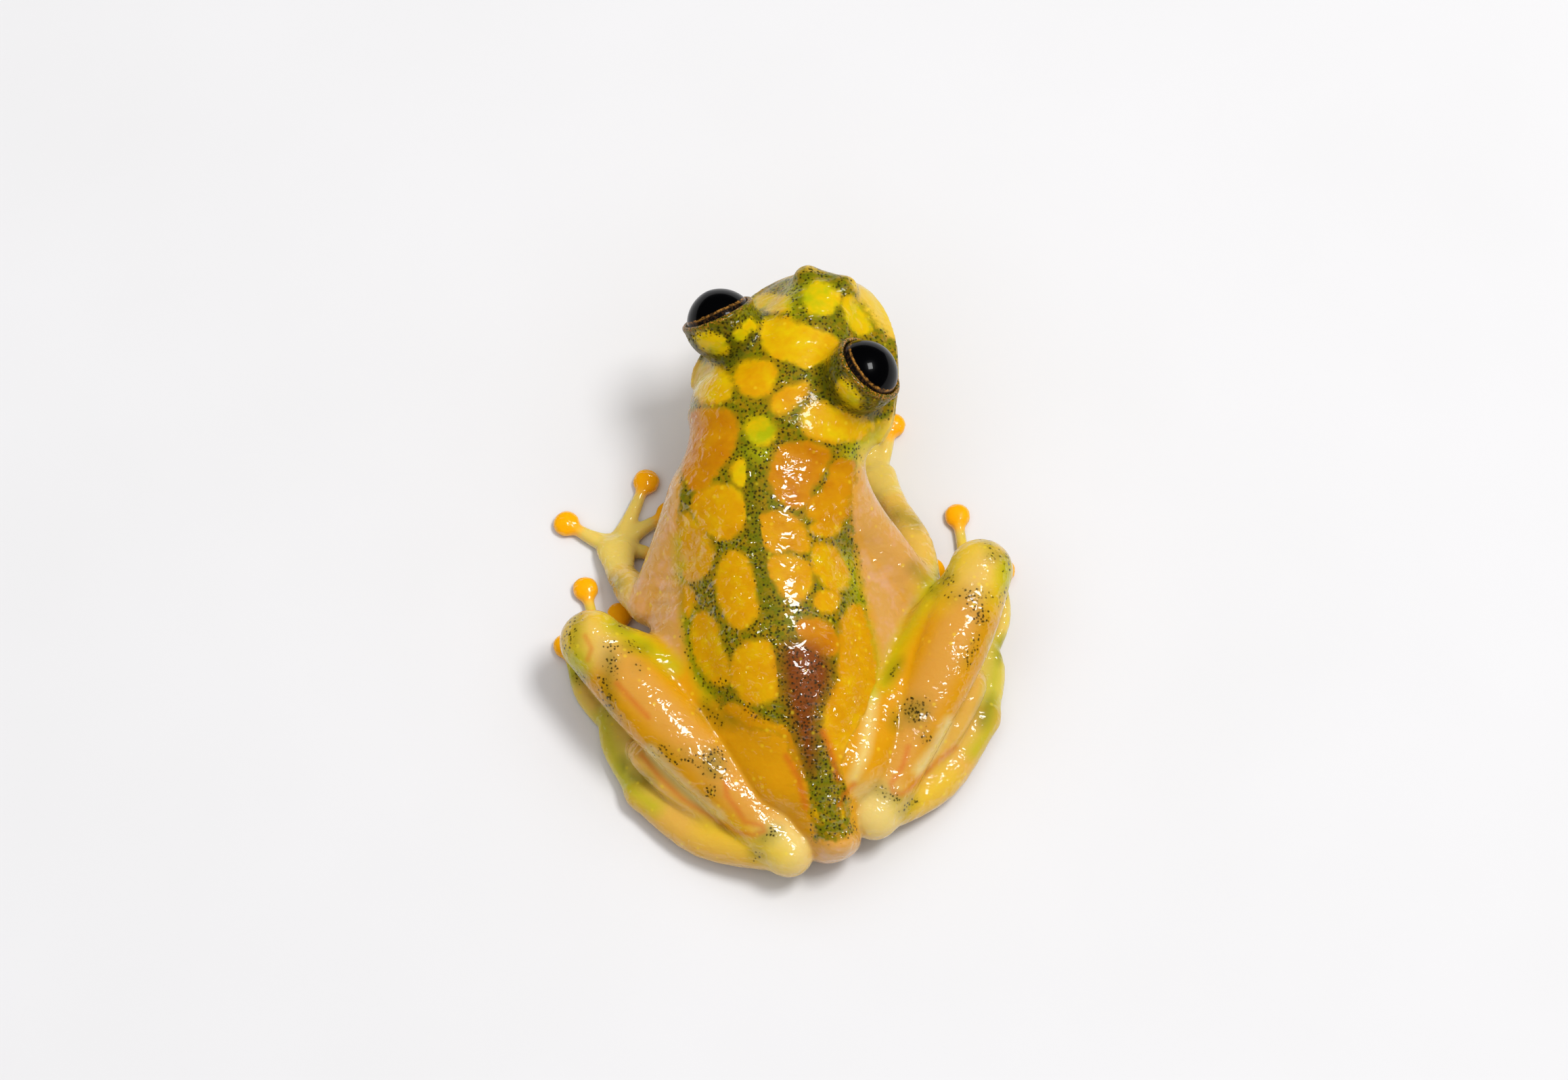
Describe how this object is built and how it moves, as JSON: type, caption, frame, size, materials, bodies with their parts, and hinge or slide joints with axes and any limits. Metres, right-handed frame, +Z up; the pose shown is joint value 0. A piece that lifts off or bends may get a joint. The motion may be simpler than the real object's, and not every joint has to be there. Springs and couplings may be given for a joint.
{
  "type": "glass frog figure",
  "caption": "Life-size still glass frog resting flat on the floor with folded hind legs, domed eyes, webbed feet and round toe discs.",
  "frame": {"origin": "on the floor, under the middle of the frog's outline seen from above", "axes": "+Y from the rump to the snout, +X to the frog's right, +Z up"},
  "size_m": [0.0166, 0.0214, 0.0085],
  "materials": {
    "skin_back": "wet granular skin, yellow spots in a green net",
    "skin_flank": "wet translucent skin, pale pink",
    "skin_leg": "wet translucent skin, peach orange",
    "skin_hand": "wet translucent skin, pale yellow",
    "skin_pad": "moist soft disc, strong yellow",
    "eye": "wet clear cornea over a near-black eye"
  },
  "bodies": {
    "root": {"head": "skin_back", "eye_left": "eye", "eye_right": "eye", "torso": "skin_back", "rump": "skin_back", "upper_arm_left": "skin_flank", "forearm_left": "skin_hand", "hand_left": "skin_hand", "finger_left_1": "skin_pad", "finger_left_2": "skin_pad", "finger_left_3": "skin_pad", "finger_left_4": "skin_pad", "upper_arm_right": "skin_flank", "forearm_right": "skin_hand", "hand_right": "skin_hand", "finger_right_1": "skin_pad", "finger_right_2": "skin_pad", "finger_right_3": "skin_pad", "finger_right_4": "skin_pad", "shank_left": "skin_leg", "thigh_left": "skin_leg", "tarsus_left": "skin_leg", "foot_left": "skin_hand", "toe_left_1": "skin_pad", "toe_left_2": "skin_pad", "toe_left_3": "skin_pad", "toe_left_4": "skin_pad", "toe_left_5": "skin_pad", "shank_right": "skin_leg", "thigh_right": "skin_leg", "tarsus_right": "skin_leg", "foot_right": "skin_hand", "toe_right_1": "skin_pad", "toe_right_2": "skin_pad", "toe_right_3": "skin_pad", "toe_right_4": "skin_pad", "toe_right_5": "skin_pad"}
  },
  "joints": []
}
